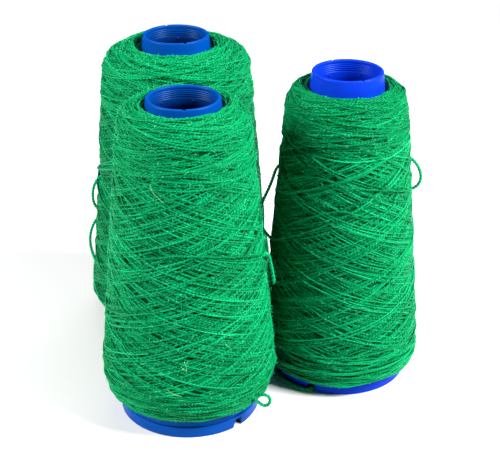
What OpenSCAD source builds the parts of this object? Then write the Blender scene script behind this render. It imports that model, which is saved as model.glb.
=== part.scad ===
// A set of three yarn cones, the packages that feed a knitting machine.
// Each cone is a hollow moulded core with a conical winding of green yarn on it.
// Units are millimetres. +X is to the right of the set, +Y to its rear, +Z up.
// The origin is on the ground, at the middle of the outline of the three windings.

/* [Core] */
// Length of a core from its foot to its nose
cone_len = 170; // [140:1:210]
// Outer radius of a core just under its lip
nose_r = 18.2; // [15:0.1:22]
// Slope of a core's side from its axis, in degrees
taper = 5.95; // [4:0.05:7.5]
// Wall of the core
wall = 1.8; // [1.4:0.1:2.4]
// Height of the stiffening band round the foot
foot_h = 6; // [4:0.5:8]
// How far the band stands out from the side above it
foot_step = 1; // [0.5:0.1:1.5]
// Radius of the gauge bore inside the nose
bore_r = 15.9; // [12.8:0.1:16]
// Length of the gauge bore
bore_len = 6; // [4:0.5:9]

/* [Nose details] */
// Number of fine grooves inside the mouth
groove_count = 5; // [3:1:6]
// Distance from one groove to the next
groove_pitch = 1; // [0.8:0.1:1.2]
// Number of moulded pips below the grooves
pip_count = 6; // [3:1:8]
// Number of small nicks in the lip that hold a yarn end
nick_count = 4; // [0:1:8]

/* [Windings] */
// Yarn on the front cone near the foot
front_foot_depth = 12.3; // [8:0.1:20]
// Yarn on the front cone near the nose
front_nose_depth = 13.8; // [8:0.1:20]
// Yarn on the right cone near the foot
right_foot_depth = 9.3; // [8:0.1:20]
// Yarn on the right cone near the nose
right_nose_depth = 12.1; // [8:0.1:20]
// Yarn on the rear cone near the foot
rear_foot_depth = 18.8; // [10:0.1:24]
// Yarn on the rear cone near the nose
rear_nose_depth = 21.6; // [10:0.1:26]
// Bare core under the front winding
front_foot_bare = 9.5; // [2:0.1:14]
// Bare core above the front winding
front_nose_bare = 1.5; // [1.5:0.5:10]
// Bare core under the right winding
right_foot_bare = 3.8; // [2:0.1:14]
// Bare core above the right winding
right_nose_bare = 6.5; // [1.5:0.5:10]
// Bare core under the rear winding
rear_foot_bare = 4.5; // [2:0.1:14]
// Bare core above the rear winding
rear_nose_bare = 4.5; // [1.5:0.5:10]

/* [Places] */
// Gap between the front and the right winding
right_gap = 0.6; // [0.4:0.1:20]
// Direction of the right cone from the front one, in degrees from +X
right_way = 25.9; // [0:0.1:40]
// Gap between the front and the rear winding
rear_gap = 0.8; // [0.4:0.1:20]
// Direction of the rear cone from the front one, in degrees from +X
rear_way = 95; // [85:0.1:130]

/* [Yarn] */
// Thickness of the yarn
yarn_d = 1.1; // [0.8:0.1:2]
// Thickness of the loose end that is doubled and twisted on itself
snarl_d = 2.1; // [1.6:0.1:3]

/* [Hidden] */
$fn = 96;

core_colour = "RoyalBlue";
yarn_colour = "MediumSeaGreen";
slope = tan(taper);

// Core: radii that follow from the nose, the slope and the wall
lip_r = wall / 2;
mouth_r = nose_r - wall;
groove_depth = 0.3;
first_groove = 1.6;
ledge_z = cone_len - first_groove - groove_count * groove_pitch;
ledge_drop = 2.2;
bore_top = ledge_z - ledge_drop;
bore_foot = bore_top - bore_len;
bore_lead = 2;
foot_r = side_r(foot_h) + foot_step;
foot_round = 0.6;
pip_r = 0.6;
pip_z = ledge_z - ledge_drop / 2;
nick_w = 1.2;
nick_h = 0.7;
nick_turn = 50;
notch_w = 6;
notch_slant = 2;
notch_h = foot_h - 1.4;
ROUND_STEPS = 5;

// Winding: shape of its two ends
mid_z = 22;
nose_z = cone_len - 18;
swell_w = 8;
front_swell = 0.3;
right_swell = 0.3;
rear_swell = 1.2;
under_h = 14;
under_power = 1.6;
under_land = 0.8;
over_h = 12;
front_trench = 1.5;
right_trench = 1.8;
rear_trench = 3;
trench_slant = 1.33;
END_STEPS = 8;
SIDE_STEPS = 10;

// Sections of the three windings
front_section = wound_section(front_foot_bare, front_nose_bare,
    front_foot_depth, front_nose_depth, front_swell, front_trench);
right_section = wound_section(right_foot_bare, right_nose_bare,
    right_foot_depth, right_nose_depth, right_swell, right_trench);
rear_section = wound_section(rear_foot_bare, rear_nose_bare,
    rear_foot_depth, rear_nose_depth, rear_swell, rear_trench);

// Widest radius of each winding, which sets how close the cones stand
front_r = widest(front_section);
right_r = widest(right_section);
rear_r = widest(rear_section);
right_off = (front_r + right_r + right_gap) * [cos(right_way), sin(right_way)];
rear_off = (front_r + rear_r + rear_gap) * [cos(rear_way), sin(rear_way)];

// The three axes, with the middle of the whole outline at the origin
left_edge = min(-front_r, right_off[0] - right_r, rear_off[0] - rear_r);
right_edge = max(front_r, right_off[0] + right_r, rear_off[0] + rear_r);
near_edge = min(-front_r, right_off[1] - right_r, rear_off[1] - rear_r);
far_edge = max(front_r, right_off[1] + right_r, rear_off[1] + rear_r);
middle = [left_edge + right_edge, near_edge + far_edge] / 2;
front_at = -middle;
right_at = right_off - middle;
rear_at = rear_off - middle;

// How each core is turned on its axis: its catch notch faces this way
front_turn = -46;
right_turn = -118;
rear_turn = 150;

// Routes of the loose yarn, each from its own cone's axis on the ground
front_tail_route = [
    [34.5, -12, 88.5], [36.2, -11, 89.8], [38, -9.2, 90.3], [39.4, -7, 89.8],
    [40.5, -4.8, 88.3], [41.2, -3, 86], [41.7, -1.6, 83.2], [42.2, -0.6, 80.2],
    [42.8, 0.2, 77], [43.3, 0.8, 73.8], [43.7, 1.2, 70.8], [43.9, 1.4, 68.6]];
front_base_loop_route = [
    [29.4, -25.2, 21.4], [31.2, -26.2, 20.2], [33, -27, 18.9], [34.6, -27.6, 17.5],
    [36.2, -28, 16], [37.8, -28.3, 14.8], [39.4, -28.5, 14.4], [40.9, -28.6, 15.1],
    [41.8, -28.6, 16.6], [41.8, -28.5, 18.4], [40.8, -28.3, 19.9], [39.2, -28, 20.5],
    [37.5, -27.5, 20.3], [36, -26.6, 19.9], [34.4, -25.4, 19.8], [32.6, -24.2, 20],
    [30.8, -23.2, 20.4]];
right_outer_loop_route = [
    [29.4, -1.2, 124], [31.6, -2, 124], [33.6, -2.6, 123.2], [35.6, -3, 121.6],
    [37.4, -3.2, 119.2], [38.8, -3.3, 116.4], [39.5, -3.3, 113.4], [39.3, -3.3, 110.6],
    [38.2, -3.1, 108.2], [36.4, -2.8, 106.5], [34.2, -2.3, 105.6], [32, -1.7, 105.2],
    [29.6, -1, 105.2]];
right_inner_loop_route = [
    [-32.5, -1, 119.6], [-34.4, -2, 118.4], [-35.9, -2.7, 116.4], [-37, -3.1, 113.2],
    [-38.1, -3.2, 109.8], [-39.4, -3.2, 106.4], [-40.9, -3.2, 102.8], [-42.3, -3.2, 99.4],
    [-43.4, -3.2, 96], [-44, -3.2, 92.4], [-43.9, -3.2, 88.8], [-43.2, -3.2, 85.4],
    [-41.9, -3.1, 82.2], [-40.2, -2.8, 79.4], [-38.4, -2.3, 77.2], [-36.4, -1.6, 75.6]];
right_base_tail_route = [
    [-36.8, -9, 10.4], [-37.6, -11, 7.6], [-37.4, -13.2, 4.8], [-36.4, -15.8, 2.6],
    [-34.6, -18.6, 1.4], [-32.2, -21.4, 1.2], [-29.8, -24.2, 1.2], [-27.2, -27, 1.2],
    [-24.4, -29.6, 1.2], [-21.4, -31.8, 1.2], [-18.4, -32.9, 1.2], [-15.8, -31.6, 1.2],
    [-14.4, -29, 1.2]];
rear_upper_loop_route = [
    [-41, -3.4, 88.8], [-43, -4, 88], [-45.2, -4.6, 86.6], [-47.2, -5, 84.6],
    [-48.6, -5.2, 81.8], [-49.5, -5.3, 78.6], [-49.8, -5.3, 75.4], [-49.6, -5.2, 72.2],
    [-48.8, -5, 69.4], [-47.4, -4.6, 67], [-45.6, -4.2, 65.2], [-43.6, -3.8, 64],
    [-41.4, -3.2, 63.4]];
rear_lower_loop_route = [
    [-44.5, -3.5, 63.5], [-46.8, -4.2, 62], [-48.8, -4.8, 59.8], [-50.4, -5.4, 57],
    [-51.6, -6.2, 54], [-52.3, -7.2, 50.8], [-52.4, -8.4, 47.6], [-51.9, -9.9, 44.6],
    [-50.9, -11.6, 41.8], [-49.6, -13.4, 39.4], [-47.9, -15.2, 37.6], [-45.8, -16.8, 36.4],
    [-43.6, -18, 35.8]];
YARN_SIDES = 8;

// Outer radius of a core's plain side at height z
function side_r(z) = nose_r + (cone_len - lip_r - z) * slope;

// Points of an arc from angle a to angle b, both left out
function arc(centre, r, a, b, steps) = [for (i = [1:steps - 1])
    centre + r * [cos(a + (b - a) * i / steps), sin(a + (b - a) * i / steps)]];

// Rounded lip of the nose, from the outside over the top to the mouth
function lip() = concat(
    [[nose_r, cone_len - lip_r]],
    arc([nose_r - lip_r, cone_len - lip_r], lip_r, 0, 180, 2 * ROUND_STEPS),
    [[mouth_r, cone_len - lip_r]]);

// Fine grooves inside the mouth, from the top one down
function grooves() = [for (i = [0:groove_count - 1])
    let (z = cone_len - first_groove - i * groove_pitch)
    for (p = [[0, 0], [groove_depth, -groove_pitch / 2]]) [mouth_r + p[0], z + p[1]]];

// Section of a core: foot band, side, lip, grooves, ledge, gauge bore and inner side
function core_section() = concat(
    [[foot_r - foot_round, 0], [foot_r, foot_round], [foot_r, foot_h]],
    [[side_r(foot_h), foot_h]],
    lip(),
    grooves(),
    [[mouth_r, ledge_z], [mouth_r - (mouth_r - bore_r) / 2, ledge_z - 0.3]],
    [[bore_r, bore_top], [bore_r, bore_foot]],
    [[side_r(bore_foot - bore_lead) - wall, bore_foot - bore_lead]],
    [[side_r(0) - wall, 0]]);

// Small pips on the slope just under the ledge
module pips() {
    for (i = [0:pip_count - 1])
        rotate(i * 360 / pip_count)
            translate([mouth_r, 0, pip_z])
                sphere(r = pip_r, $fn = 24);
}

// Nicks across the lip
module nicks() {
    for (i = [0:nick_count - 1])
        rotate(nick_turn + i * 360 / nick_count)
            translate([nose_r - 2 * wall, -nick_w / 2, cone_len - nick_h])
                cube([4 * wall, nick_w, 2 * nick_h]);
}

// Catch notch in the foot band, with one slanted side
module notch() {
    rotate([90, 0, 90])
        translate([0, 0, side_r(0) - 3 * wall])
            linear_extrude(6 * wall)
                polygon([[-notch_w / 2, -1], [notch_w / 2, -1], [notch_w / 2, notch_h],
                    [notch_slant - notch_w / 2, notch_h]]);
}

// One moulded core, its catch notch turned to face the given way
module core(turn) {
    color(core_colour)
        rotate(turn) {
            difference() {
                rotate_extrude()
                    polygon(core_section());
                nicks();
                notch();
            }
            pips();
        }
}

// Outer radius of a winding at height z, between its rounded ends
function wound_r(z, foot_depth, nose_depth, swell) =
    side_r(z) + foot_depth + (nose_depth - foot_depth) * (z - mid_z) / (nose_z - mid_z)
    + swell * exp(-pow((z - mid_z) / swell_w, 2));

// Section of a winding, from the foot along the outside to the nose and back down the core.
// A winding that starts lower than the foot band's top hangs round the band.
function wound_section(foot_bare, nose_bare, foot_depth, nose_depth, swell, trench) =
    let (
        z0 = foot_bare,
        z1 = z0 + under_h,
        z3 = cone_len - nose_bare,
        z2 = z3 - over_h,
        over_band = z0 < foot_h,
        inner_r = over_band ? foot_r : side_r(z0),
        start_r = inner_r + under_land,
        wide_r = wound_r(z1, foot_depth, nose_depth, swell),
        crest_r = side_r(z3) + trench * trench_slant,
        top_r = wound_r(z2, foot_depth, nose_depth, swell),
        under_w = wide_r - start_r,
        over_w = top_r - crest_r)
    concat(
        over_band ? [[side_r(foot_h), foot_h], [foot_r, foot_h]] : [],
        [[inner_r, z0], [start_r, z0]],
        [for (i = [1:END_STEPS]) let (t = sin(90 * i / END_STEPS), z = z1 - under_h * (1 - t))
            [start_r + under_w * pow(1 - pow(1 - t, under_power), 1 / under_power), z]],
        [for (i = [1:SIDE_STEPS]) let (z = z1 + (z2 - z1) * i / SIDE_STEPS)
            [wound_r(z, foot_depth, nose_depth, swell), z]],
        [for (i = [1:END_STEPS])
            [crest_r + over_w * cos(90 * i / END_STEPS), z2 + over_h * sin(90 * i / END_STEPS)]],
        [[side_r(z3 - trench), z3 - trench]]);
function widest(section) = max([for (p = section) p[0]]);

// One winding of yarn, tight on its core
module winding(section) {
    color(yarn_colour)
        rotate_extrude()
            polygon(section);
}

// Rings of a tube swept along a route, each square to the line there
function unit(v) = v / norm(v);
function along(route, i) =
    unit(route[min(i + 1, len(route) - 1)] - route[max(i - 1, 0)]);
function across(way) = unit(cross(way, abs(way[2]) < 0.9 ? [0, 0, 1] : [1, 0, 0]));
function carried(side, way) = unit(side - way * (side * way));
function sides_of(route, i) =
    i == 0 ? across(along(route, 0)) : carried(sides_of(route, i - 1), along(route, i));
function ring(route, i, r) =
    let (u = sides_of(route, i), v = cross(along(route, i), u))
    [for (k = [0:YARN_SIDES - 1]) let (a = 360 * k / YARN_SIDES)
        route[i] + r * (cos(a) * u + sin(a) * v)];

// Loose yarn of thickness d along a route
module loose_yarn(route, d) {
    count = len(route);
    n = YARN_SIDES;
    color(yarn_colour)
        polyhedron(
            points = [for (i = [0:count - 1]) each ring(route, i, d / 2)],
            faces = concat(
                [[for (k = [0:n - 1]) k]],
                [for (i = [0:count - 2], k = [0:n - 1])
                    [i * n + k, (i + 1) * n + k, (i + 1) * n + (k + 1) % n, i * n + (k + 1) % n]],
                [[for (k = [n - 1:-1:0]) (count - 1) * n + k]]));
}

module front_core() { translate(front_at) core(front_turn); }

module front_package() { translate(front_at) winding(front_section); }

module front_tail() { translate(front_at) loose_yarn(front_tail_route, snarl_d); }

module front_base_loop() { translate(front_at) loose_yarn(front_base_loop_route, yarn_d); }

module right_core() { translate(right_at) core(right_turn); }

module right_package() { translate(right_at) winding(right_section); }

module right_outer_loop() { translate(right_at) loose_yarn(right_outer_loop_route, yarn_d); }

module right_inner_loop() { translate(right_at) loose_yarn(right_inner_loop_route, yarn_d); }

module right_base_tail() { translate(right_at) loose_yarn(right_base_tail_route, snarl_d); }

module rear_core() { translate(rear_at) core(rear_turn); }

module rear_package() { translate(rear_at) winding(rear_section); }

module rear_upper_loop() { translate(rear_at) loose_yarn(rear_upper_loop_route, yarn_d); }

module rear_lower_loop() { translate(rear_at) loose_yarn(rear_lower_loop_route, yarn_d); }

front_core();
front_package();
front_tail();
front_base_loop();
right_core();
right_package();
right_outer_loop();
right_inner_loop();
right_base_tail();
rear_core();
rear_package();
rear_upper_loop();
rear_lower_loop();
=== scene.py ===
"""Three cones of green yarn on blue plastic cores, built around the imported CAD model.

Each winding is wound here strand by strand: a taut yarn is laid over the yarn that is already there, so
that crossings, ribbons and gaps come out as they do on a real cross-wound cone. Shapes are worked out in
millimetres and turned into metres where a mesh is made.
"""
import math

import bpy
import numpy as np
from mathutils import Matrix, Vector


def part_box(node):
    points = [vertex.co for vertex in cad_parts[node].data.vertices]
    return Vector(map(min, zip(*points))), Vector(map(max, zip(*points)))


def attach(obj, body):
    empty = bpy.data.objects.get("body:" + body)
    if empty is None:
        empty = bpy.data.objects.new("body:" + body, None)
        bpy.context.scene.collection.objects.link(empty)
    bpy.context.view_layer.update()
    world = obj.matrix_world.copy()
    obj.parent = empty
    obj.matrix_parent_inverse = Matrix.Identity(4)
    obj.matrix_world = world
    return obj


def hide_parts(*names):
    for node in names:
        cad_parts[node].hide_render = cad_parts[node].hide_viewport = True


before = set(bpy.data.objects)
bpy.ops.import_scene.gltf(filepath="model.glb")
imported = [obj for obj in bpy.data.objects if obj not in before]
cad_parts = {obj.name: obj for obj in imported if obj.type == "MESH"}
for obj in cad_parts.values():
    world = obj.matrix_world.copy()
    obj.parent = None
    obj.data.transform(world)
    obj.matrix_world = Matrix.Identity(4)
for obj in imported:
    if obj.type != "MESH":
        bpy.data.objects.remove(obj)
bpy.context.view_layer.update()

MM = 0.001
TURN = 2 * math.pi
CONES = ("front", "right", "rear")

# Core, as part.scad makes it, in millimetres and degrees
NOSE_R = 18.2
TAPER = math.radians(5.95)
WALL = 1.8
FOOT_H = 6.0
FOOT_STEP = 1.0
BORE_R = 15.9
BORE_LEN = 6.0
GROOVES = 5
GROOVE_PITCH = 1.0
GROOVE_DEPTH = 0.3
FIRST_GROOVE = 1.6
LEDGE_DROP = 2.2
PIPS = 6
PIP_R = 0.6
NICKS = 4
NICK_TURN = 50
NICK_W = 1.2
NICK_H = 0.7
NOTCH_W = 6.0
NOTCH_H = 4.6
NOTCH_SLANT = 2.0
CORE_SEGMENTS = 384
CORE_TURN = {"front": -46, "right": -118, "rear": 150}

# Yarn: half its width, half its thickness as drawn, and half its thickness where other yarn presses on it
HALF_W = 0.42
HALF_T = 0.4
PRESSED_T = 0.24
TWIST_PITCH = 3.6

# Winding: a cell of its height map, a step along a strand, and how many steps there are to a tube's ring
CELL = 0.28
SAMPLE = 0.8
RING_EVERY = 3
# Steps beyond its own ends over which a chunk of a strand is worked out
OVERLAP = 38
# How far from the meridian's ends strokes turn back, and how near arcs and strokes may come to them
TURN_BACK = 6.0
ARC_MARGIN = 0.4
STROKE_MARGIN = 0.6
# Sides of a strand's tube, sides and rings of a fibre's, plies of a loose yarn and the sides of each
TUBE_SIDES = 5
HAIR_SIDES = 3
HAIR_RINGS = 5
WISP_SIDES = 4
WISP_RINGS = 12
PLIES = 2
PLY_SIDES = 10
# About how many triangles one piece may have
MOST_FACES = 190000


# ---------------------------------------------------------------- frame

def vertices_mm(name):
    """Vertices of a CAD node, in millimetres."""
    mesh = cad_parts[name].data
    co = np.empty(len(mesh.vertices) * 3)
    mesh.vertices.foreach_get("co", co)
    return co.reshape(-1, 3) / MM


def axis_of(cone):
    """Where the axis of a cone stands, in millimetres."""
    low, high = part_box(cone + "_package")
    return np.array([(low[0] + high[0]) / 2, (low[1] + high[1]) / 2]) / MM


AXIS = {cone: axis_of(cone) for cone in CONES}
CONE_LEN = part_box("front_core")[1][2] / MM
LIP_R = WALL / 2
SLOPE = math.tan(TAPER)


def side_r(z):
    """Outer radius of a core's plain side at height z."""
    return NOSE_R + (CONE_LEN - LIP_R - z) * SLOPE


FOOT_R = side_r(FOOT_H) + FOOT_STEP


# ---------------------------------------------------------------- meshes

def mesh_piece(name, verts, loops, starts, material, cone, slot):
    """A mesh object from vertices in millimetres round a cone's axis, riding on that cone."""
    place = np.array([AXIS[cone][0], AXIS[cone][1], 0.0])
    mesh = bpy.data.meshes.new(name)
    mesh.vertices.add(len(verts))
    mesh.vertices.foreach_set("co", ((verts + place) * MM).astype(np.float32).ravel())
    mesh.loops.add(len(loops))
    mesh.loops.foreach_set("vertex_index", loops.astype(np.int32))
    mesh.polygons.add(len(starts))
    mesh.polygons.foreach_set("loop_start", starts.astype(np.int32))
    mesh.update(calc_edges=True)
    mesh.polygons.foreach_set("use_smooth", np.full(len(starts), True))
    mesh.materials.append(material)
    obj = bpy.data.objects.new(name, mesh)
    bpy.context.scene.collection.objects.link(obj)
    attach(obj, cone + "_cone")
    return obj


def tube_faces(counts, sides):
    """Corner indices and face starts of closed tubes, one after another, with that many rings each."""
    counts = np.asarray(counts)
    first = np.r_[0, np.cumsum(counts)[:-1]]
    last = first + counts - 1
    ring = np.arange(counts.sum())
    ring = ring[~np.isin(ring, last)]
    k = np.arange(sides)
    nxt = (k + 1) % sides
    base = ring[:, None] * sides
    quads = np.stack([base + k, base + nxt, base + sides + nxt, base + sides + k], axis=2).reshape(-1, 4)
    heads = first[:, None] * sides + k[::-1]
    tails = last[:, None] * sides + k
    loops = np.r_[quads.ravel(), heads.ravel(), tails.ravel()]
    n_quads, n_caps = len(quads), 2 * len(counts)
    starts = np.r_[np.arange(n_quads) * 4, n_quads * 4 + np.arange(n_caps) * sides]
    return loops, starts


def lathe(r, z, angle):
    """Vertices and quads of a closed section turned round the axis. It may differ from angle to angle."""
    turns, n = len(angle), np.shape(r)[-1]
    r, z = np.broadcast_to(r, (turns, n)), np.broadcast_to(z, (turns, n))
    verts = np.stack([r * np.cos(angle)[:, None], r * np.sin(angle)[:, None], z], axis=-1).reshape(-1, 3)
    a, k = np.meshgrid(np.arange(turns), np.arange(n), indexing="ij")
    b, m = (a + 1) % turns, (k + 1) % n
    return verts, np.stack([a * n + k, b * n + k, b * n + m, a * n + m], axis=-1).reshape(-1, 4)


def point_attribute(obj, name, values):
    """A number for each vertex that materials can read."""
    layer = obj.data.attributes.new(name, "FLOAT", "POINT")
    layer.data.foreach_set("value", np.asarray(values, np.float32))


def tube_map(mesh, counts, sides):
    """A UV map for closed tubes: their rings one after another along rows, and the end caps above them."""
    n_rings, n_caps = int(np.sum(counts)) - len(counts), 2 * len(counts)
    stretch = 4.6
    wide = max(4, int(math.sqrt(n_rings * sides / stretch)))
    ring, side = np.divmod(np.arange(n_rings * sides), sides)
    x, y = ring % wide, ring // wide * sides + side
    quads = np.stack([x, y, x, y + 1, x + 1, y + 1, x + 1, y], axis=1).reshape(-1, 2)
    rows = -(-n_rings // wide) * sides
    cap = np.arange(n_caps)
    angle = np.arange(sides) * TURN / sides
    caps = np.stack([(cap % wide)[:, None] + 0.5 + 0.45 * np.cos(angle),
                     rows + (cap // wide)[:, None] + 0.5 + 0.45 * np.sin(angle)], axis=2).reshape(-1, 2)
    tall = rows - (-n_caps // wide)
    layer = mesh.uv_layers.new(name="OFBake")
    layer.data.foreach_set("uv", (np.vstack([quads, caps]) / (wide, tall)).astype(np.float32).ravel())


def tube_pieces(name, verts, counts, sides, material, cone, slot, attributes):
    """Closed tubes as one piece, or as several numbered ones where there are too many faces for one."""
    counts = np.asarray(counts)
    part = np.cumsum((counts - 1) * sides * 2 + 2 * (sides - 2)) // MOST_FACES
    pieces = []
    for k in np.unique(part):
        mine = counts[part == k]
        pick = np.repeat(np.repeat(part, counts) == k, sides)
        full = name if part[-1] == part[0] else f"{name}_{len(pieces) + 1}"
        obj = mesh_piece(full, verts[pick], *tube_faces(mine, sides), material, cone, slot)
        tube_map(obj.data, mine, sides)
        for key, values in attributes.items():
            point_attribute(obj, key, values[pick])
        pieces.append(obj)
    return pieces


def drift(rng, count, every):
    """Smooth random numbers, mostly from -2 to 2, that change over a few steps."""
    knots = np.arange(0, count + every, every)
    return np.interp(np.arange(count), knots, rng.normal(0, 1, len(knots)))


def unit(v):
    """Vectors scaled to length one, along the last axis."""
    return v / np.maximum(np.linalg.norm(v, axis=-1, keepdims=True), 1e-12)


# ---------------------------------------------------------------- camera and light

CAMERA_AT = (0.00075, -0.6236, 0.3775)
CAMERA_DOWN = 25.77
CAMERA_LENS = 91.55


def make_camera():
    """The photograph's view: a short telephoto from the front, a little above the cones."""
    data = bpy.data.cameras.new("camera")
    data.sensor_width = 36
    data.lens = CAMERA_LENS
    data.clip_start, data.clip_end = 0.05, 20
    camera = bpy.data.objects.new("camera", data)
    bpy.context.scene.collection.objects.link(camera)
    camera.location = CAMERA_AT
    camera.rotation_euler = (math.radians(90 - CAMERA_DOWN), 0, 0)
    bpy.context.scene.camera = camera


def soft_light(name, azimuth, elevation, distance, size, watts):
    """A square soft box facing the cones. In degrees; azimuth 0 is the camera's side and 90 the right."""
    data = bpy.data.lights.new(name, "AREA")
    data.shape = "SQUARE"
    data.size = size
    data.energy = watts
    light = bpy.data.objects.new(name, data)
    bpy.context.scene.collection.objects.link(light)
    a, e = math.radians(azimuth), math.radians(elevation)
    flat = distance * math.cos(e)
    middle = 0.08
    light.location = (flat * math.sin(a), -flat * math.cos(a), middle + distance * math.sin(e))
    light.rotation_euler = (math.pi / 2 - e, 0, a)


def background(nodes, strength):
    """A white world background."""
    node = nodes.new("ShaderNodeBackground")
    node.inputs["Color"].default_value = (1, 1, 1, 1)
    node.inputs["Strength"].default_value = strength
    return node.outputs[0]


def make_light():
    """High-key studio light: two soft boxes at the sides, the right one stronger, and one high behind. The
    background is white where the camera sees it and adds next to no light."""
    soft_light("key", 66, 40, 1.1, 0.45, 34)
    soft_light("fill", -72, 30, 1.1, 0.5, 21)
    soft_light("back", 175, 60, 1.3, 0.8, 5)
    world = bpy.data.worlds.new("surround")
    bpy.context.scene.world = world
    world.use_nodes = True
    tree = world.node_tree
    tree.nodes.clear()
    out = tree.nodes.new("ShaderNodeOutputWorld")
    path = tree.nodes.new("ShaderNodeLightPath")
    mix = tree.nodes.new("ShaderNodeMixShader")
    tree.links.new(path.outputs["Is Camera Ray"], mix.inputs[0])
    tree.links.new(background(tree.nodes, 0.03), mix.inputs[1])
    tree.links.new(background(tree.nodes, 1.0), mix.inputs[2])
    tree.links.new(mix.outputs[0], out.inputs["Surface"])
    bpy.context.scene.view_settings.view_transform = "Standard"


def make_floor():
    """A pale plain floor, which ends before it gets much darker than the white behind it."""
    half = 0.62
    corners = [(-half, -half, 0), (half, -half, 0), (half, half, 0), (-half, half, 0)]
    mesh = bpy.data.meshes.new("floor")
    mesh.from_pydata(corners, [], [(0, 1, 2, 3)])
    floor = bpy.data.objects.new("floor", mesh)
    bpy.context.scene.collection.objects.link(floor)
    material, _, _, shader = new_material("studio_floor")
    shader.inputs["Base Color"].default_value = (0.78, 0.78, 0.78, 1)
    shader.inputs["Roughness"].default_value = 0.85
    shader.inputs["Specular IOR Level"].default_value = 0.1
    mesh.materials.append(material)


# ---------------------------------------------------------------- materials

def new_material(name):
    """A node material with one Principled shader: the material, its nodes, its links and the shader."""
    material = bpy.data.materials.new(name)
    material.use_nodes = True
    tree = material.node_tree
    tree.nodes.clear()
    out = tree.nodes.new("ShaderNodeOutputMaterial")
    shader = tree.nodes.new("ShaderNodeBsdfPrincipled")
    tree.links.new(shader.outputs[0], out.inputs["Surface"])
    return material, tree.nodes, tree.links, shader


def noise(nodes, links, vector, scale, detail=2.0, rough=0.5):
    """A noise texture read at a vector."""
    tex = nodes.new("ShaderNodeTexNoise")
    tex.inputs["Scale"].default_value = scale
    tex.inputs["Detail"].default_value = detail
    tex.inputs["Roughness"].default_value = rough
    links.new(vector, tex.inputs["Vector"])
    return tex.outputs["Fac"]


def maths(nodes, links, kind, a, b=None):
    """A Math node; a and b are sockets or numbers."""
    node = nodes.new("ShaderNodeMath")
    node.operation = kind
    for i, value in enumerate((a, b)):
        if value is None:
            continue
        if isinstance(value, (int, float)):
            node.inputs[i].default_value = value
        else:
            links.new(value, node.inputs[i])
    return node.outputs[0]


def ramp(nodes, links, value, stops):
    """A colour ramp through (position, colour) stops."""
    node = nodes.new("ShaderNodeValToRGB")
    while len(node.color_ramp.elements) < len(stops):
        node.color_ramp.elements.new(0.5)
    for element, (place, colour) in zip(node.color_ramp.elements, stops):
        element.position = place
        element.color = (*colour, 1)
    links.new(value, node.inputs[0])
    return node.outputs[0]


def attribute(nodes, name):
    """A mesh attribute as a socket."""
    node = nodes.new("ShaderNodeAttribute")
    node.attribute_name = name
    return node.outputs["Fac"]


def ply_ridges(nodes, links, pitch):
    """From 0 in the groove between two twisted plies to 1 on top of a ply."""
    phase = maths(nodes, links, "MULTIPLY", attribute(nodes, "along"), TURN / pitch)
    cosine, sine = maths(nodes, links, "COSINE", phase), maths(nodes, links, "SINE", phase)
    across = maths(nodes, links, "MULTIPLY", cosine, attribute(nodes, "side_x"))
    above = maths(nodes, links, "MULTIPLY", sine, attribute(nodes, "side_y"))
    return maths(nodes, links, "ABSOLUTE", maths(nodes, links, "ADD", across, above))


def bumped(nodes, links, shader, height, strength, distance):
    """Bump from a height, on a shader's normal."""
    bump = nodes.new("ShaderNodeBump")
    bump.inputs["Strength"].default_value = strength
    bump.inputs["Distance"].default_value = distance
    links.new(height, bump.inputs["Height"])
    links.new(bump.outputs[0], shader.inputs["Normal"])


def yarn_material(name, dark, mid, light, pitch=None):
    """Spun yarn: a colour that changes from strand to strand and along each, fine fibres, and plied ridges
    where a twist pitch is given, with painted shade in the grooves between the plies."""
    material, nodes, links, shader = new_material(name)
    coords = nodes.new("ShaderNodeTexCoord").outputs["Object"]
    patch = noise(nodes, links, coords, 1100, 3, 0.7)
    fibre = noise(nodes, links, coords, 4200, 2, 0.6)
    tone_and_shade = maths(nodes, links, "ADD", maths(nodes, links, "MULTIPLY", attribute(nodes, "shade"), 0.5),
                 maths(nodes, links, "MULTIPLY", patch, 0.5))
    height = fibre
    if pitch:
        ridge = ply_ridges(nodes, links, pitch)
        # Painted shade: the colour is darker in the grooves between plies and lighter on top of each ply.
        tone_and_shade = maths(nodes, links, "ADD", tone_and_shade, maths(nodes, links, "MULTIPLY", ridge, 0.3))
        tone_and_shade = maths(nodes, links, "SUBTRACT", tone_and_shade, 0.19)
        height = maths(nodes, links, "ADD", maths(nodes, links, "MULTIPLY", fibre, 0.4), ridge)
    colour = ramp(nodes, links, tone_and_shade, [(0.2, dark), (0.5, mid), (0.8, light)])
    links.new(colour, shader.inputs["Base Color"])
    shader.inputs["Roughness"].default_value = 0.55
    shader.inputs["Specular IOR Level"].default_value = 0.12
    shader.inputs["Specular Tint"].default_value = (0.15, 1.0, 0.55, 1)
    bumped(nodes, links, shader, height, 0.7, 0.00018)
    return material


# ---------------------------------------------------------------- winding

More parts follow.
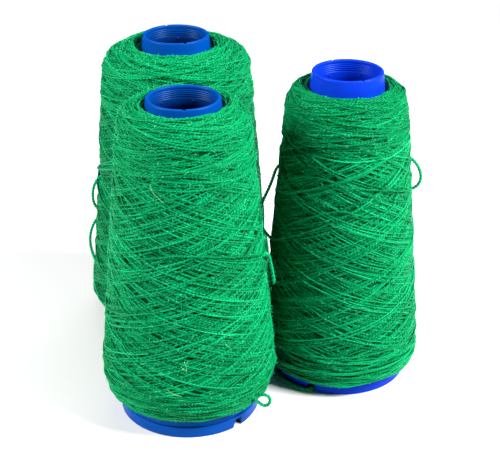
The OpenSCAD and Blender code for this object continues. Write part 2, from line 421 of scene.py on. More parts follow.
class Meridian:
    """The outer line of a winding from its foot to its nose, by distance along it, in millimetres."""

    STEP = 0.25
    SMOOTH = 1.0

    def __init__(self, points):
        points = np.array(points)
        at = np.r_[0, np.cumsum(np.hypot(*np.diff(points, axis=0).T))]
        self.length = at[-1]
        self.s = np.arange(0, self.length, self.STEP)
        reach = int(3 * self.SMOOTH / self.STEP)
        weights = np.exp(-0.5 * (np.arange(-reach, reach + 1) * self.STEP / self.SMOOTH) ** 2)
        weights /= weights.sum()
        line = []
        for column in points.T:
            plain = np.interp(self.s, at, column)
            padded = np.pad(plain, reach, mode="reflect", reflect_type="odd")
            line.append(np.convolve(padded, weights, "valid"))
        r, z = line
        way = unit(np.stack([np.gradient(r), np.gradient(z)], axis=1))
        self.nr, self.nz = way[:, 1], -way[:, 0]
        tilt = np.unwrap(np.arctan2(self.nz, self.nr))
        self.bend = np.gradient(tilt) / self.STEP
        self.r, self.z = r, z

    def read(self, name, s):
        """One of r, z, nr, nz or bend at distances s."""
        return np.interp(s, self.s, getattr(self, name))

    def place(self, s, turn, h):
        """Points at distances s and angles turn, at heights h above the line."""
        nr = self.read("nr", s)
        r = self.read("r", s) + h * nr
        z = self.read("z", s) + h * self.read("nz", s)
        return np.stack([r * np.cos(turn), r * np.sin(turn), z], axis=-1)

    def normal(self, s, turn):
        """Directions square to the winding's surface."""
        nr = self.read("nr", s)
        return np.stack([nr * np.cos(turn), nr * np.sin(turn), self.read("nz", s)], axis=-1)


def outer_line(cone):
    """The outer (radius, height) points of a winding's CAD solid, from foot to nose: in order of their
    direction from a point in the core's hollow, half way up."""
    co = vertices_mm(cone + "_package")
    r = np.hypot(co[:, 0] - AXIS[cone][0], co[:, 1] - AXIS[cone][1])
    rings = np.unique(np.round(np.c_[co[:, 2], r], 2), axis=0)
    z, r = rings[:, 0], rings[:, 1]
    core = np.where(z <= FOOT_H + 0.01, FOOT_R, side_r(z))
    outer = r > core + 0.4
    outer[np.flatnonzero(~outer)[-1]] = True
    r, z = r[outer], z[outer]
    hollow_r = 22
    order = np.argsort(np.arctan2(z - CONE_LEN / 2, r - hollow_r))
    return np.c_[r, z][order]


def taut(x, y):
    """The least concave line that passes over the points, read back at every x."""
    hull = []
    for i in range(len(x)):
        while len(hull) > 1:
            a, b = hull[-2], hull[-1]
            if (y[b] - y[a]) * (x[i] - x[a]) > (y[i] - y[a]) * (x[b] - x[a]):
                break
            hull.pop()
        hull.append(i)
    return np.interp(x, x[hull], y[hull])


def blurred(grid, reach):
    """A grid averaged over a square, twice. Its rows end, and its columns go round."""
    window = 2 * reach + 1
    for _ in range(2):
        tall = np.cumsum(np.pad(grid, ((reach + 1, reach), (0, 0)), mode="edge"), axis=0)
        grid = (tall[window:] - tall[:-window]) / window
        wide = np.cumsum(np.pad(grid, ((0, 0), (reach + 1, reach)), mode="wrap"), axis=1)
        grid = (wide[:, window:] - wide[:, :-window]) / window
    return grid


class Winding:
    """A winding that grows as yarn is laid on it. Its height map holds how high the yarn stands.

    OFFSETS: places across a strand, in halves of its width. PRESS: weights that even out, along a strand,
    what is under it. HELD: least curvature that a taut strand is taken to follow, per millimetre. SPAN:
    most that a strand hangs free over what is under it. LEVEL: reach of the average that gives the
    winding's own level. PROUD: most that the middle of a strand may stand over the line.
    """

    OFFSETS = np.linspace(-0.88, 0.88, 7)
    PRESS = np.array([0.1, 0.24, 0.32, 0.24, 0.1])
    HELD = 0.004
    SPAN = 0.2
    LEVEL = 4.0
    PROUD = 0.5

    def __init__(self, line):
        self.line = line
        self.rows = int(line.length / CELL) + 2
        self.cols = int(TURN * line.r.max() / CELL)
        self.height = np.zeros(self.rows * self.cols)
        self.strands = []

    def cells(self, s, turn):
        """Which cells of the height map lie at distances s and angles turn."""
        row = np.clip(np.rint(s / CELL).astype(int), 0, self.rows - 1)
        col = np.rint(turn / TURN * self.cols).astype(int) % self.cols
        return row * self.cols + col

    def under(self, s, turn):
        """Cells under a strand, a row for each offset across it, and how far its skin is from its middle."""
        r = self.line.read("r", s)
        up, round_ = np.gradient(s), r * np.gradient(turn)
        size = np.hypot(up, round_)
        aside_s, aside_turn = -round_ / size, up / size / r
        cells = [self.cells(s + u * HALF_W * aside_s, turn + u * HALF_W * aside_turn) for u in self.OFFSETS]
        skin = PRESSED_T * np.sqrt(1 - self.OFFSETS ** 2)
        return np.array(cells), skin[:, None]

    def rest(self, s, turn):
        """Heights at which a taut strand comes to rest on what is there."""
        cells, skin = self.under(s, turn)
        support = (self.height[cells] + skin).mean(axis=0)
        support = np.convolve(np.pad(support, 2, mode="edge"), self.PRESS, "valid")
        r = self.line.read("r", s)
        up, round_ = np.gradient(s), r * np.gradient(turn)
        step = np.hypot(up, round_)
        level = (round_ / step) ** 2
        curve = level * self.line.read("nr", s) / r + (1 - level) * self.line.read("bend", s)
        curve = np.maximum(curve, self.HELD)
        x = np.cumsum(step)
        chord = np.cumsum(np.cumsum(curve * step) * step)
        return np.minimum(taut(x, support - chord) + chord, support + self.SPAN)

    def stamp(self, s, turn, h):
        """Adds a strand to the height map."""
        if len(s) < 2:
            return
        fine = np.arange(0, len(s) - 1, CELL / SAMPLE)
        at = np.arange(len(s))
        s, turn, h = (np.interp(fine, at, v) for v in (s, turn, h))
        cells, skin = self.under(s, turn)
        np.maximum.at(self.height, cells.ravel(), (h + skin).ravel())

    def settle(self):
        """Works out the level that comes to lie on the line: the yarn's mean height nearby and 1.5 times
        its spread, so that strands and ribbons keep their relief and the highest touch the line."""
        relief = self.height.reshape(self.rows, self.cols)
        mean = blurred(relief, int(self.LEVEL / CELL))
        spread = np.sqrt(blurred((relief - mean) ** 2, int(2 * self.LEVEL / CELL)))
        top = 1.5 * spread + HALF_T - PRESSED_T
        self.depth = np.percentile(top, 80)
        self.level = (mean + top).ravel()

    def sunk(self, s, turn, h):
        """Heights over the line, once the winding has settled. What would stand out is pressed down."""
        height = h - self.level[self.cells(s, turn)]
        return np.where(height > 0, self.PROUD * np.tanh(height / self.PROUD), height)

    def lay(self, s, turn, cuts, lift=0.0):
        """Lays one long strand, chunk by chunk. A chunk comes to rest before the end of the last one is
        stamped, so that the heights meet where two chunks join."""
        h = np.empty(len(s))
        waiting = None
        for a, b in zip(cuts[:-1], cuts[1:]):
            low, high = max(a - OVERLAP, 0), min(b + OVERLAP, len(s))
            h[a:b] = self.rest(s[low:high], turn[low:high])[a - low:b - low] + lift
            if waiting is not None:
                self.stamp(s[waiting:a + 1], turn[waiting:a + 1], h[waiting:a + 1])
            waiting = max(b - OVERLAP, a)
            self.stamp(s[a:waiting + 1], turn[a:waiting + 1], h[a:waiting + 1])
        self.stamp(s[waiting:], turn[waiting:], h[waiting:])
        self.strands.append((s, turn, h))


def resample(line, s, turn, *marks):
    """A path with its points SAMPLE millimetres apart, and where the marked points fall in it."""
    r = line.read("r", s)
    step = np.hypot(np.diff(s), (r[1:] + r[:-1]) / 2 * np.diff(turn))
    x = np.r_[0, np.cumsum(step)]
    even = np.arange(0, x[-1], SAMPLE)
    marks = [np.searchsorted(even, x[m]) for m in marks]
    return (np.interp(even, x, s), np.interp(even, x, turn), *marks)


def end_arcs(winding, low, high, metres, way, rng):
    """Reversals of the inner layers, which build an end face. They are laid from low to high."""
    line = winding.line
    laid = 0.0
    while laid < metres * 1000:
        share = laid / (metres * 1000)
        edge = low + (high - low) * share + rng.normal(0, 0.5)
        edge = min(max(edge, ARC_MARGIN), line.length - ARC_MARGIN)
        spread = np.linspace(-1.35, 1.35, 81)
        steep = rng.uniform(2.5, 7)
        s = edge + way * steep * spread ** 2 / (1 + 0.25 * np.abs(spread))
        turn = spread + rng.uniform(0, TURN)
        s, turn = resample(line, s, turn)
        winding.lay(s, turn, [0, len(s)])
        laid += len(s) * SAMPLE


def eased(t, sharp=0.972):
    """From 0 to 1 at an even pace, slowing down only at both ends."""
    return 0.5 + np.arcsin(sharp * np.sin(math.pi * (t - 0.5))) / (2 * math.asin(sharp))


def strokes(winding, metres, turns, low, high, rng, closes=1, shift=0.0, scatter=1.2, sharp=0.97,
            unrest=0.003):
    """One yarn that runs from end to end and back. turns is for a double stroke. The pattern closes after a
    number of double strokes, a shift further round, which lays the yarn in ribbons. scatter is how far the
    strokes end from each other, and unrest how much their turns differ."""
    line = winding.line
    t = np.linspace(0, 1, 160, endpoint=False)
    swing = turns / 2 + shift / (TURN * line.r.max()) / (2 * closes)
    stroke = math.hypot(high - low, swing * TURN * line.r.mean())
    count = max(2, int(metres * 1000 / stroke))
    ends = np.where(np.arange(count + 1) % 2, high, low) + rng.normal(0, scatter, count + 1)
    ends = np.clip(ends, STROKE_MARGIN, line.length - STROKE_MARGIN)
    swings = swing + rng.normal(0, unrest, count)
    turned = np.r_[0, np.cumsum(swings)] + rng.uniform()
    s = np.concatenate([ends[k] + (ends[k + 1] - ends[k]) * eased(t, sharp) for k in range(count)])
    turn = np.concatenate([turned[k] + swings[k] * t for k in range(count)]) * TURN
    knots = np.arange(0, len(s) + 50, 50)
    s = s + np.interp(np.arange(len(s)), knots, rng.normal(0, 0.45, len(knots)))
    s, turn, *cuts = resample(line, s, turn, *range(len(t), len(s), len(t)))
    winding.lay(s, turn, [0, *cuts, len(s)])


def slack(winding, route):
    """A slack stretch of the last layer through (degrees round, millimetres from the foot). It stands a
    little off the winding and goes under at both ends."""
    marks = np.arange(len(route))
    t = np.linspace(0, len(route) - 1, 60 * len(route))
    smooth = np.hanning(61) / np.hanning(61).sum()
    turn, s = (np.convolve(np.pad(np.interp(t, marks, column), 30, mode="reflect", reflect_type="odd"),
                           smooth, "valid") for column in np.array(route, dtype=float).T)
    s, turn = resample(winding.line, s, np.radians(turn))
    end = np.minimum(np.arange(len(s)), np.arange(len(s))[::-1]) * SAMPLE
    winding.lay(s, turn, [0, len(s)], np.clip(end / 5 - 0.8, -0.8, 1.0))


def wind(cone, seed, arcs, fill, ribbons, nose_wraps, foot_wraps, slack_routes=()):
    """The winding of one cone, layer on layer, in metres of yarn: arcs at the foot and at the nose, fill
    at two angles, ribbons as (metres, turns, closes, shift), and wraps as (metres, reach)."""
    rng = np.random.default_rng(seed)
    winding = Winding(Meridian(outer_line(cone)))
    foot, nose = TURN_BACK, winding.line.length - TURN_BACK
    end_arcs(winding, ARC_MARGIN, foot + 4, arcs[0], 1, rng)
    end_arcs(winding, nose + 5.6, nose - 8, arcs[1], -1, rng)
    strokes(winding, fill / 2, 2.729, foot, nose, rng, scatter=2.5, unrest=0.02)
    strokes(winding, fill / 2, 3.61, foot, nose, rng, scatter=2.5, unrest=0.02)
    for metres, turns, closes, shift in ribbons:
        strokes(winding, metres, turns, foot, nose, rng, closes, shift, unrest=0.006)
    metres, reach = foot_wraps
    strokes(winding, metres, 2.33, foot - 1, foot + reach, rng, scatter=3, sharp=0.8)
    metres, reach = nose_wraps
    strokes(winding, metres, 2.41, nose - reach, nose + 1, rng, scatter=4, sharp=0.8)
    for route in slack_routes:
        slack(winding, route)
    winding.settle()
    return winding


def strand_runs(winding):
    """The stretches of yarn that show, as rings: their middles, ways, normals, distances along the yarn
    and strand numbers, and how many rings each stretch has."""
    line = winding.line
    middles, ways, normals, alongs, numbers, counts = [], [], [], [], [], []
    number = 0
    for s, turn, h in winding.strands:
        cells, skin = winding.under(s, turn)
        shows = (winding.height[cells] <= h + skin + 0.3).any(axis=0)
        ring = np.arange(0, len(s), RING_EVERY)
        reach = 2 * RING_EVERY
        near = np.array([shows[max(i - reach, 0):i + reach + 1].any() for i in ring])
        near[1:-1] |= near[:-2] & near[2:]
        place = line.place(s, turn, winding.sunk(s, turn, h))
        way = unit(np.gradient(place, axis=0))
        normal = line.normal(s, turn)
        edges = np.flatnonzero(np.diff(np.r_[False, near, False].astype(int)))
        for a, b in zip(edges[::2], edges[1::2]):
            if b - a < 3:
                continue
            pick = ring[a:b]
            middles.append(place[pick])
            ways.append(way[pick])
            normals.append(normal[pick])
            alongs.append(pick * SAMPLE)
            numbers.append(np.full(b - a, number))
            counts.append(b - a)
            number += 1
    return (np.concatenate(middles), np.concatenate(ways), np.concatenate(normals),
            np.concatenate(alongs), np.concatenate(numbers), np.array(counts))


def yarn_tubes(cone, name, rings, tone_and_shade, material, rng):
    """Strands as closed tubes, with the attributes that the yarn's material reads."""
    middles, ways, normals, alongs, numbers, counts = rings
    aside = unit(np.cross(ways, normals))
    above = unit(np.cross(aside, ways))
    angle = np.arange(TUBE_SIDES) * TURN / TUBE_SIDES
    slub = 1 + 0.1 * drift(rng, len(middles), 3)[:, None, None]
    verts = (middles[:, None] + slub * (HALF_W * np.cos(angle)[None, :, None] * aside[:, None]
                                        + HALF_T * np.sin(angle)[None, :, None] * above[:, None]))
    # The cone's tone, with the rear cone's painted shade in it, and random differences from strand to strand
    # and along each.
    shade = tone_and_shade + rng.normal(0, 0.17, numbers.max() + 1)[numbers] + 0.1 * drift(rng, len(middles), 6)
    tube_pieces(name, verts.reshape(-1, 3), counts, TUBE_SIDES, material, cone, "green_winding",
                {"shade": np.repeat(shade, TUBE_SIDES), "along": np.repeat(alongs, TUBE_SIDES),
                 "side_x": np.tile(np.cos(angle), len(middles)),
                 "side_y": np.tile(np.sin(angle), len(middles))})


def winding_body(cone, winding, material):
    """The closed body under the strands."""
    segments = 160
    line = winding.line
    sink = winding.depth + 0.9
    r, z = (line.r - sink * line.nr)[::4], (line.z - sink * line.nz)[::4]
    inner_z = np.linspace(z[-1] - 1, z[0] + 1, 12)
    r = np.r_[r, np.minimum(side_r(inner_z) - 0.3, r[-1] + 100)]
    z = np.r_[z, inner_z]
    verts, quads = lathe(r, z, np.arange(segments) * TURN / segments)
    return mesh_piece(cone + "_winding_body", verts, quads.ravel(), np.arange(len(quads)) * 4, material, cone,
                      "green_winding")


# ---------------------------------------------------------------- fibres

def hairs(roots, ways, normals, lengths, radius, rng):
    """Fine fibres that stand off the yarn: the points of closed tapered tubes."""
    n = len(roots)
    aside = unit(np.cross(ways, normals))
    lean = rng.normal(0, 1, (n, 1)) * ways + rng.normal(0, 0.8, (n, 1)) * aside
    out = rng.uniform(0.15, 1.0, (n, 1))
    start = unit(lean * (1 - 0.4 * out) + out * normals)
    curl = unit(rng.normal(0, 1, (n, 3)) - 0.35 * normals) * rng.uniform(0.1, 0.9, (n, 1))
    t = np.linspace(0, 1, HAIR_RINGS)[None, :, None]
    size = lengths[:, None, None]
    line = roots[:, None] + size * (t * start[:, None] + 0.6 * t * t * curl[:, None])
    way = unit(np.gradient(line, axis=1))
    u = unit(np.cross(way, normals[:, None] + 0.01))
    v = np.cross(way, u)
    angle = np.arange(HAIR_SIDES) * TURN / HAIR_SIDES
    thick = radius * (1 - 0.75 * t[..., None])
    ring = line[:, :, None] + thick * (np.cos(angle)[None, None, :, None] * u[:, :, None]
                                       + np.sin(angle)[None, None, :, None] * v[:, :, None])
    return ring.reshape(-1, 3)


def winding_fuzz(cone, rings, count, material, rng):
    """The down of loose fibres over a winding, short near the core, so that none hangs in front of it."""
    middles, ways, normals = rings[:3]
    pick = rng.integers(0, len(middles), count)
    lengths = np.clip(rng.lognormal(0.7, 0.6, count), 0.6, 8)
    roots = middles[pick] + 0.3 * normals[pick]
    z = roots[:, 2]
    beside = np.hypot(roots[:, 0], roots[:, 1]) - np.where(z < 20, FOOT_R, side_r(z))
    lengths = np.minimum(lengths, 0.4 + 0.15 * np.maximum(beside, 0))
    verts = hairs(roots, ways[pick], normals[pick], lengths, 0.052, rng)
    verts[:, 2] = np.maximum(verts[:, 2], 0.05)
    shade = np.repeat(rng.uniform(0.3, 1.0, count), HAIR_SIDES * HAIR_RINGS)
    tube_pieces(cone + "_fuzz", verts, np.full(count, HAIR_RINGS), HAIR_SIDES, material, cone,
                "green_winding", {"shade": shade})


def wisps(name, cone, line, places, material, rng):
    """Stray fibres on a winding, each from one (degrees round, millimetres from the foot) to another."""
    rows = []
    for (turn_a, a), (turn_b, b) in places:
        t = np.linspace(0, 1, WISP_RINGS)
        turn = np.radians(turn_a + (turn_b - turn_a) * t + 0.3 * drift(rng, WISP_RINGS, 5))
        path = line.place(a + (b - a) * t, turn, 0.4 + 1.2 * np.sin(math.pi * t))
        way = unit(np.gradient(path, axis=0))
        side = carried_sides(way)
        other = np.cross(way, side)
        angle = np.arange(WISP_SIDES)[None, :, None] * TURN / WISP_SIDES
        rows.append(path[:, None] + 0.08 * (np.cos(angle) * side[:, None] + np.sin(angle) * other[:, None]))
    verts = np.concatenate(rows).reshape(-1, 3)
    tube_pieces(name, verts, np.full(len(places), WISP_RINGS), WISP_SIDES, material, cone, "green_winding",
                {"shade": rng.uniform(0.3, 1.0, len(verts))})


# ---------------------------------------------------------------- loose yarn

def smooth_route(route):
    """Points of a smooth curve through a route, evenly spaced, in millimetres, and the curve's length."""
    step = 0.25
    p = np.array(route) / MM
    p = np.vstack([2 * p[0] - p[1], p, 2 * p[-1] - p[-2]])
    t = np.linspace(0, 1, 24, endpoint=False)[:, None]
    parts = [0.5 * (2 * b + (c - a) * t + (2 * a - 5 * b + 4 * c - d) * t ** 2
                    + (3 * b - a - 3 * c + d) * t ** 3)
             for a, b, c, d in zip(p[:-3], p[1:-2], p[2:-1], p[3:])]
    fine = np.vstack([*parts, p[-2][None]])
    x = np.r_[0, np.cumsum(np.linalg.norm(np.diff(fine, axis=0), axis=1))]
    even = np.linspace(0, x[-1], max(8, int(x[-1] / step)))
    return np.stack([np.interp(even, x, fine[:, k]) for k in range(3)], axis=1), x[-1]


def carried_sides(way):
    """Directions across a line that turn with it and don't twist."""
    side = np.empty_like(way)
    side[0] = unit(np.cross(way[0], (0.3, 0.2, 1.0)))
    for i in range(1, len(way)):
        side[i] = unit(side[i - 1] - way[i] * side[i - 1].dot(way[i]))
    return side


def twisted(line, length, ply_r, offset, pitch):
    """Plies twisted round each other along a line: the rings of each, one after another, their middles,
    and the directions away from the line."""
    way = unit(np.gradient(line, axis=0))
    side = carried_sides(way)
    other = np.cross(way, side)
    x = np.linspace(0, length, len(line))
    angle = np.arange(PLY_SIDES) * TURN / PLY_SIDES
    verts, centres, outs = [], [], []
    for k in range(PLIES):
        phase = TURN * (x / pitch + k / PLIES)
        out = np.cos(phase)[:, None] * side + np.sin(phase)[:, None] * other
        centre = line + offset * out
        run = unit(np.gradient(centre, axis=0))
        u = unit(out - run * (out * run).sum(axis=1, keepdims=True))
        v = np.cross(run, u)
        taper = np.minimum(1, 0.35 + 0.65 * np.minimum(x, length - x) / 0.6)[:, None, None]
        ring = centre[:, None] + ply_r * taper * (np.cos(angle)[None, :, None] * u[:, None]
                                                  + np.sin(angle)[None, :, None] * v[:, None])
        verts.append(ring.reshape(-1, 3))
        centres.append(centre)
        outs.append(u)
    return np.vstack(verts), np.vstack(centres), np.vstack(outs)


def loose_yarn(cone, name, route, material, rng, diameter=1.1, pitch=3.4, bulk=1.65,
               hair_count=90):
    """A loose piece of yarn along a route, round its cone's axis: two twisted plies, about bulk times as
    thick as its CAD cord, and a second piece with its fibres."""
    line, length = smooth_route(route)
    ply_r = diameter * bulk * 0.3
    verts, centres, outs = twisted(line, length, ply_r, diameter * bulk * 0.22, pitch)
    pick = rng.integers(0, len(centres), hair_count)
    way = unit(np.gradient(centres, axis=0))[pick]
    lengths = np.clip(rng.lognormal(0.2, 0.5, hair_count), 0.5, 2.6)
    more = hairs(centres[pick] + 0.2 * outs[pick], way, outs[pick], lengths, 0.035, rng)
    more[:, 2] = np.maximum(more[:, 2], 0.04)
    plain = np.ones(len(verts))
    obj, = tube_pieces(name, verts, np.full(PLIES, len(line)), PLY_SIDES, material, cone, "loose_yarn",
                       {"shade": 0.62 * plain, "along": 0 * plain, "side_x": 0.8 * plain,
                        "side_y": 0 * plain})
    fuzz, = tube_pieces(name + "_fuzz", more, np.full(hair_count, HAIR_RINGS), HAIR_SIDES, down, cone,
                        "loose_yarn", {"shade": rng.uniform(0.3, 1, len(more))})
    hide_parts(name.replace("_yarn", ""))


# Routes of part.scad, in metres, each from its own cone's axis on the ground
FRONT_TAIL_ROUTE = [
    (0.0345, -0.012, 0.0885), (0.0362, -0.011, 0.0898), (0.038, -0.0092, 0.0903),
    (0.0394, -0.007, 0.0898), (0.0405, -0.0048, 0.0883), (0.0412, -0.003, 0.086),
    (0.0417, -0.0016, 0.0832), (0.0422, -0.0006, 0.0802), (0.0428, 0.0002, 0.077),
    (0.0433, 0.0008, 0.0738), (0.0437, 0.0012, 0.0708), (0.0439, 0.0014, 0.0686)]
FRONT_BASE_LOOP_ROUTE = [
    (0.0294, -0.0252, 0.0214), (0.0312, -0.0262, 0.0202), (0.033, -0.027, 0.0189),
    (0.0346, -0.0276, 0.0175), (0.0362, -0.028, 0.016), (0.0378, -0.0283, 0.0148),
    (0.0394, -0.0285, 0.0144), (0.0409, -0.0286, 0.0151), (0.0418, -0.0286, 0.0166),
    (0.0418, -0.0285, 0.0184), (0.0408, -0.0283, 0.0199), (0.0392, -0.028, 0.0205),
    (0.0375, -0.0275, 0.0203), (0.036, -0.0266, 0.0199), (0.0344, -0.0254, 0.0198),
    (0.0326, -0.0242, 0.02), (0.0308, -0.0232, 0.0204)]
RIGHT_OUTER_LOOP_ROUTE = [
    (0.0294, -0.0012, 0.124), (0.0316, -0.002, 0.124), (0.0336, -0.0026, 0.1232),
    (0.0356, -0.003, 0.1216), (0.0374, -0.0032, 0.1192), (0.0388, -0.0033, 0.1164),
    (0.0395, -0.0033, 0.1134), (0.0393, -0.0033, 0.1106), (0.0382, -0.0031, 0.1082),
    (0.0364, -0.0028, 0.1065), (0.0342, -0.0023, 0.1056), (0.032, -0.0017, 0.1052),
    (0.0296, -0.001, 0.1052)]
RIGHT_INNER_LOOP_ROUTE = [
    (-0.0325, -0.001, 0.1196), (-0.0344, -0.002, 0.1184), (-0.0359, -0.0027, 0.1164),
    (-0.037, -0.0031, 0.1132), (-0.0381, -0.0032, 0.1098), (-0.0394, -0.0032, 0.1064),
    (-0.0409, -0.0032, 0.1028), (-0.0423, -0.0032, 0.0994), (-0.0434, -0.0032, 0.096),
    (-0.044, -0.0032, 0.0924), (-0.0439, -0.0032, 0.0888), (-0.0432, -0.0032, 0.0854),
    (-0.0419, -0.0031, 0.0822), (-0.0402, -0.0028, 0.0794), (-0.0384, -0.0023, 0.0772),
    (-0.0364, -0.0016, 0.0756)]
RIGHT_BASE_TAIL_ROUTE = [
    (-0.0368, -0.009, 0.0104), (-0.0376, -0.011, 0.0076), (-0.0374, -0.0132, 0.0048),
    (-0.0364, -0.0158, 0.0026), (-0.0346, -0.0186, 0.0014), (-0.0322, -0.0214, 0.0012),
    (-0.0298, -0.0242, 0.0012), (-0.0272, -0.027, 0.0012), (-0.0244, -0.0296, 0.0012),
    (-0.0214, -0.0318, 0.0012), (-0.0184, -0.0329, 0.0012), (-0.0158, -0.0316, 0.0012),
    (-0.0144, -0.029, 0.0012)]
REAR_UPPER_LOOP_ROUTE = [
    (-0.041, -0.0034, 0.0888), (-0.043, -0.004, 0.088), (-0.0452, -0.0046, 0.0866),
    (-0.0472, -0.005, 0.0846), (-0.0486, -0.0052, 0.0818), (-0.0495, -0.0053, 0.0786),
    (-0.0498, -0.0053, 0.0754), (-0.0496, -0.0052, 0.0722), (-0.0488, -0.005, 0.0694),
    (-0.0474, -0.0046, 0.067), (-0.0456, -0.0042, 0.0652), (-0.0436, -0.0038, 0.064),
    (-0.0414, -0.0032, 0.0634)]
REAR_LOWER_LOOP_ROUTE = [
    (-0.0445, -0.0035, 0.0635), (-0.0468, -0.0042, 0.062), (-0.0488, -0.0048, 0.0598),
    (-0.0504, -0.0054, 0.057), (-0.0516, -0.0062, 0.054), (-0.0523, -0.0072, 0.0508),
    (-0.0524, -0.0084, 0.0476), (-0.0519, -0.0099, 0.0446), (-0.0509, -0.0116, 0.0418),
    (-0.0496, -0.0134, 0.0394), (-0.0479, -0.0152, 0.0376), (-0.0458, -0.0168, 0.0364),
    (-0.0436, -0.018, 0.0358)]


# ---------------------------------------------------------------- cores

def arc(centre_r, centre_z, radius, start, end, steps):
    """Points of an arc, its ends included; angles in degrees."""
    a = np.radians(np.linspace(start, end, steps + 1))
    return list(zip(centre_r + radius * np.cos(a), centre_z + radius * np.sin(a)))


def straight(a, b, step):
    """Points along a straight line, the last left out."""
    n = max(1, int(math.dist(a, b) / step))
    return [(a[0] + (b[0] - a[0]) * i / n, a[1] + (b[1] - a[1]) * i / n) for i in range(n)]


def core_section():
    """Section of a core, from the foot up the outside, over the lip and down the inside."""
    fillet = 0.5
    ledge = CONE_LEN - FIRST_GROOVE - GROOVES * GROOVE_PITCH
    bore_top = ledge - LEDGE_DROP
    bore_foot = bore_top - BORE_LEN
    mouth = NOSE_R - WALL
    lip_z = CONE_LEN - LIP_R
    line = arc(FOOT_R - 0.6, 0.6, 0.6, -90, 0, 5)
    line += straight((FOOT_R, 0.9), (FOOT_R, FOOT_H - fillet), 0.8)
    line += arc(FOOT_R - fillet, FOOT_H - fillet, fillet, 0, 90, 5)
    line += straight((side_r(FOOT_H) + 0.12, FOOT_H), (NOSE_R, lip_z), 4.0)
    line += arc(NOSE_R - LIP_R, lip_z, LIP_R, 0, 180, 20)
    for i in range(GROOVES):
        z = CONE_LEN - FIRST_GROOVE - i * GROOVE_PITCH
        for t in np.linspace(0, 1, 9)[:-1]:
            line.append((mouth + GROOVE_DEPTH * (0.5 - 0.5 * math.cos(TURN * t)), z - t * GROOVE_PITCH))
    line += [(mouth, ledge)]
    line += straight((mouth - 0.25, ledge - 0.12), (BORE_R, bore_top), 0.16)
    line += straight((BORE_R, bore_top), (BORE_R, bore_foot), 1.5)
    line += straight((BORE_R, bore_foot), (side_r(bore_foot - 2) - WALL, bore_foot - 2), 0.5)
    line += straight((side_r(bore_foot - 2) - WALL, bore_foot - 2), (side_r(0) - WALL, 0.4), 5.0)
    line += [(side_r(0) - WALL, 0.4), (side_r(0) - WALL + 0.4, 0)]
    return np.array(line)


def make_core(cone, material, slot):
    """One moulded core: lip nicks and pips are worked into the lathe mesh, the catch notch is cut out."""
    line = core_section()
    turned = math.radians(CORE_TURN[cone])
    angle = np.arange(CORE_SEGMENTS) * TURN / CORE_SEGMENTS
    r = np.repeat(line[None, :, 0], CORE_SEGMENTS, axis=0)
    z = np.repeat(line[None, :, 1], CORE_SEGMENTS, axis=0)
    local = (angle[:, None] - turned + math.pi) % TURN - math.pi
    for k in range(NICKS):
        centre = math.radians(NICK_TURN + k * 360 / NICKS)
        off = np.abs((local - centre + math.pi) % TURN - math.pi) * r
        cut = NICK_H * np.clip(1.4 - off / (NICK_W / 2), 0, 1)
        z = np.where(z > CONE_LEN - NICK_H, np.minimum(z, CONE_LEN - cut), z)
    ledge = CONE_LEN - FIRST_GROOVE - GROOVES * GROOVE_PITCH
    for k in range(PIPS):
        off = np.abs((local - k * TURN / PIPS + math.pi) % TURN - math.pi) * BORE_R
        far = np.hypot(off, z - (ledge - LEDGE_DROP / 2))
        inside = (r < NOSE_R - WALL + 0.01) & (z > ledge - LEDGE_DROP - 0.5)
        r = r - np.where(inside, np.sqrt(np.maximum(PIP_R ** 2 - far ** 2, 0)), 0)
    verts, quads = lathe(r, z, angle)
    core = mesh_piece(cone + "_core_moulding", verts, quads.ravel(), np.arange(len(quads)) * 4, material,
                      cone, slot)
    cut_notch(core, cone, turned)
    place = np.empty(3 * len(core.data.vertices))
    core.data.vertices.foreach_get("co", place)
    x, y, z = place.reshape(-1, 3).T / MM
    # Painted shade: the inner wall gets a depth down from the lip, by which the material darkens it.
    inner = np.hypot(x - AXIS[cone][0], y - AXIS[cone][1]) < side_r(z) - 0.7 * WALL
    point_attribute(core, "depth", inner * np.clip((CONE_LEN - z) / 11, 0, 1))
    core.data.set_sharp_from_angle(angle=math.radians(38))
    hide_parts(cone + "_core")


def cut_notch(core, cone, turned):
    """Cuts the catch notch through the foot band."""
    near, far = side_r(0) - 3 * WALL, side_r(0) + 3 * WALL
    outline = [(-NOTCH_W / 2, -1), (NOTCH_W / 2, -1), (NOTCH_W / 2, NOTCH_H),
               (NOTCH_SLANT - NOTCH_W / 2, NOTCH_H)]
    verts = [(x, across, up) for x in (near, far) for across, up in outline]
    faces = [(3, 2, 1, 0), (4, 5, 6, 7), (0, 1, 5, 4), (1, 2, 6, 5), (2, 3, 7, 6), (3, 0, 4, 7)]
    mesh = bpy.data.meshes.new("notch_cutter")
    c, d = math.cos(turned), math.sin(turned)
    place = [((x * c - y * d + AXIS[cone][0]) * MM, (x * d + y * c + AXIS[cone][1]) * MM, z * MM)
             for x, y, z in verts]
    mesh.from_pydata(place, [], faces)
    cutter = bpy.data.objects.new("notch_cutter", mesh)
    bpy.context.scene.collection.objects.link(cutter)
    cut = core.modifiers.new("notch", "BOOLEAN")
    cut.operation = "DIFFERENCE"
    cut.solver = "EXACT"
    cut.object = cutter
    bpy.context.view_layer.update()
    whole = core.evaluated_get(bpy.context.evaluated_depsgraph_get())
    shaped = bpy.data.meshes.new_from_object(whole)
    core.modifiers.clear()
    core.data = shaped
    bpy.data.objects.remove(cutter)


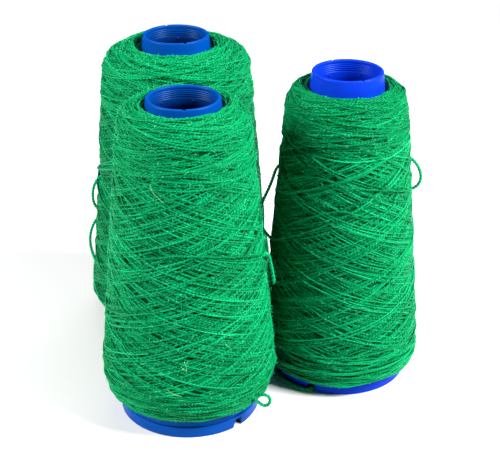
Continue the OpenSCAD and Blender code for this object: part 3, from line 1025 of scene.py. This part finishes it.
def core_material(name, colour, cloudy, inside, painted_mouth_shade):
    """Moulded plastic with a faint cloudiness and fine scuffs, and painted shade that darkens it down in its
    mouth.
    """
    material, nodes, links, shader = new_material(name)
    coords = nodes.new("ShaderNodeTexCoord").outputs["Object"]
    cloud = noise(nodes, links, coords, 60, 3, 0.5)
    mix = nodes.new("ShaderNodeMix")
    mix.data_type = "RGBA"
    # Painted shade: the colour is mixed towards the dark inside colour with depth into the mouth.
    links.new(maths(nodes, links, "MULTIPLY", attribute(nodes, "depth"), painted_mouth_shade), mix.inputs["Factor"])
    links.new(ramp(nodes, links, cloud, [(0.3, cloudy), (0.7, colour)]), mix.inputs["A"])
    mix.inputs["B"].default_value = (*inside, 1)
    links.new(mix.outputs["Result"], shader.inputs["Base Color"])
    scuff = noise(nodes, links, coords, 900, 4, 0.7)
    rough = nodes.new("ShaderNodeMapRange")
    rough.inputs["From Min"].default_value = 0.35
    rough.inputs["From Max"].default_value = 0.75
    rough.inputs["To Min"].default_value = 0.3
    rough.inputs["To Max"].default_value = 0.5
    links.new(scuff, rough.inputs["Value"])
    links.new(rough.outputs[0], shader.inputs["Roughness"])
    shader.inputs["Specular IOR Level"].default_value = 0.1
    shader.inputs["Specular Tint"].default_value = (0.3, 0.65, 1.0, 1)
    bumped(nodes, links, shader, noise(nodes, links, coords, 260, 3, 0.55), 0.08, 0.0002)
    return material


# ---------------------------------------------------------------- build

make_camera()
make_light()
make_floor()

yarn = yarn_material("green_yarn", (0.0, 0.07, 0.02), (0.0, 0.21, 0.063), (0.003, 0.46, 0.17), TWIST_PITCH)
# Painted shade: the body under the strands is a darker green than the yarn, for the shade down in the gaps
# between strands.
painted_shade = yarn_material("deep_yarn", (0.0, 0.045, 0.015), (0.0, 0.08, 0.027), (0.0, 0.12, 0.04))
# Painted sheen: the loose fibres are coloured much lighter than the yarn, for the light that catches on them
# and shines through them.
down = yarn_material("yarn_down", (0.0, 0.4, 0.14), (0.03, 0.72, 0.35), (0.2, 0.95, 0.58))
straw = yarn_material("straw_fibre", (0.12, 0.4, 0.14), (0.25, 0.58, 0.25), (0.45, 0.75, 0.4))
# In each core material the inside colour and the number after it are painted shade for the mouth.
blue = core_material("blue_plastic", (0.0, 0.05, 0.28), (0.0, 0.045, 0.25), (0.0, 0.002, 0.03), 1.0)
violet = core_material("violet_plastic", (0.002, 0.03, 0.47), (0.002, 0.027, 0.42), (0.0, 0.006, 0.22), 0.7)

# How each cone is wound, see wind()
PLANS = {
    "front": dict(seed=11, arcs=(13, 9), fill=200, ribbons=[(26, 3.2, 5, 2.4), (26, 4.27, 4, 2.0)],
                  nose_wraps=(24, 32), foot_wraps=(9, 14), slack_routes=[
                      [(-130, 94), (-117, 96), (-95, 100), (-74, 99), (-40, 93), (-14, 86), (5, 82)]]),
    "right": dict(seed=23, arcs=(12, 8), fill=150, ribbons=[(22, 2.8, 5, 2.4), (22, 4.25, 4, 2.2)],
                  nose_wraps=(20, 26), foot_wraps=(10, 16), slack_routes=[
                      [(-150, 119), (-135, 121), (-113, 123), (-90, 119), (-61, 116), (-30, 110), (-16, 108)],
                      [(-152, 88), (-139, 95), (-113, 104), (-95, 107), (-76, 103), (-62, 102), (-49, 106),
                       (-44, 112), (-38, 119)]]),
    "rear": dict(seed=37, arcs=(16, 12), fill=210, ribbons=[(30, 3.4, 5, 2.4), (30, 4.0, 4, 2.6)],
                 nose_wraps=(34, 40), foot_wraps=(10, 14)),
}

# How light a cone's yarn is, and its number of loose fibres. The rear cone's lower value is painted shade,
# for the less light that falls on it.
TONES_AND_SHADE = {"front": 0.46, "right": 0.52, "rear": 0.3}
FUZZ = {"front": 18000, "right": 17000, "rear": 18000}

WISPS = [((-115, 134), (-103, 126)), ((-92, 42), (-88, 40)), ((-90, 45), (-89, 39)), ((-101, 29), (-92, 26)),
         ((-63, 52), (-60, 49))]

rng = np.random.default_rng(71)
loose_yarn("front", "front_tail_yarn", FRONT_TAIL_ROUTE, yarn, rng, diameter=2.1, pitch=5.0, bulk=1.0,
           hair_count=110)
loose_yarn("front", "front_base_loop_yarn", FRONT_BASE_LOOP_ROUTE, yarn, rng)
loose_yarn("right", "right_outer_loop_yarn", RIGHT_OUTER_LOOP_ROUTE, yarn, rng)
loose_yarn("right", "right_inner_loop_yarn", RIGHT_INNER_LOOP_ROUTE, yarn, rng)
loose_yarn("right", "right_base_tail_yarn", RIGHT_BASE_TAIL_ROUTE, yarn, rng, diameter=2.1, pitch=5.0,
           bulk=1.0, hair_count=160)
loose_yarn("rear", "rear_upper_loop_yarn", REAR_UPPER_LOOP_ROUTE, yarn, rng)
loose_yarn("rear", "rear_lower_loop_yarn", REAR_LOWER_LOOP_ROUTE, yarn, rng)

CORES = {"front": (blue, "blue_core"), "right": (violet, "violet_core"), "rear": (blue, "blue_core")}

for cone in CONES:
    winding = wind(cone, **PLANS[cone])
    rings = strand_runs(winding)
    body = winding_body(cone, winding, painted_shade)
    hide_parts(cone + "_package")
    yarn_tubes(cone, cone + "_yarn", rings, TONES_AND_SHADE[cone], yarn, np.random.default_rng(5))
    winding_fuzz(cone, rings, FUZZ[cone], down, np.random.default_rng(9))
    if cone == "front":
        wisps("front_wisps", cone, winding.line, WISPS, straw, np.random.default_rng(3))
    make_core(cone, *CORES[cone])
